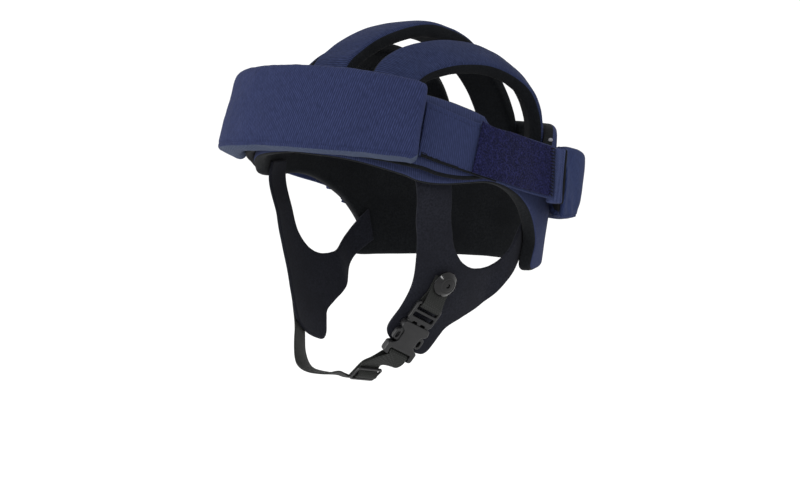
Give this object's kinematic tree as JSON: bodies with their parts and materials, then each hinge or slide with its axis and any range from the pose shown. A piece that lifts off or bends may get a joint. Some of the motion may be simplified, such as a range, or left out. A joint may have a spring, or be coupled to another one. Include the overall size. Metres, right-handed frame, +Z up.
{
  "type": "soft protective helmet",
  "caption": "Soft padded helmet with foam front and rear bumpers, open crown arches, hook-and-loop side straps, neoprene ear yokes and a buckled chin strap.",
  "frame": {"origin": "middle of the head hollow at the level of the headband, where a head sits", "axes": "+X to the wearer's left, -Y to the front, +Z up towards the crown"},
  "size_m": [0.222, 0.2628, 0.2352],
  "materials": {
    "navy_twill": "ribbed navy twill over foam",
    "navy_cloth": "plain navy cloth, black lining",
    "navy_pile": "hook-and-loop pile",
    "black_neoprene": "matte neoprene",
    "black_webbing": "woven webbing",
    "black_plastic": "moulded black plastic",
    "pale_rivet": "small pale rivet"
  },
  "bodies": {
    "root": {"front_bumper": "navy_twill", "front_band": "navy_cloth", "base_shell": "navy_cloth", "rear_bumper": "navy_twill", "crown_arch_middle": "navy_cloth", "crown_arch_left": "navy_cloth", "crown_arch_right": "navy_cloth", "side_strap_left": "navy_cloth", "side_strap_right": "navy_cloth", "loop_patch_left": "navy_pile", "loop_patch_right": "navy_pile", "strap_roll_left": "navy_twill", "strap_roll_right": "navy_twill", "ear_yoke_left": "black_neoprene", "ear_yoke_right": "black_neoprene", "yoke_button_left": "black_plastic", "yoke_button_right": "black_plastic", "buckle_tab": "black_webbing", "buckle_male": "black_plastic", "buckle_female": "black_plastic", "chin_strap": "black_webbing", "strap_slider": "black_plastic", "nape_rivet_left": "pale_rivet", "nape_rivet_right": "pale_rivet"}
  },
  "joints": []
}
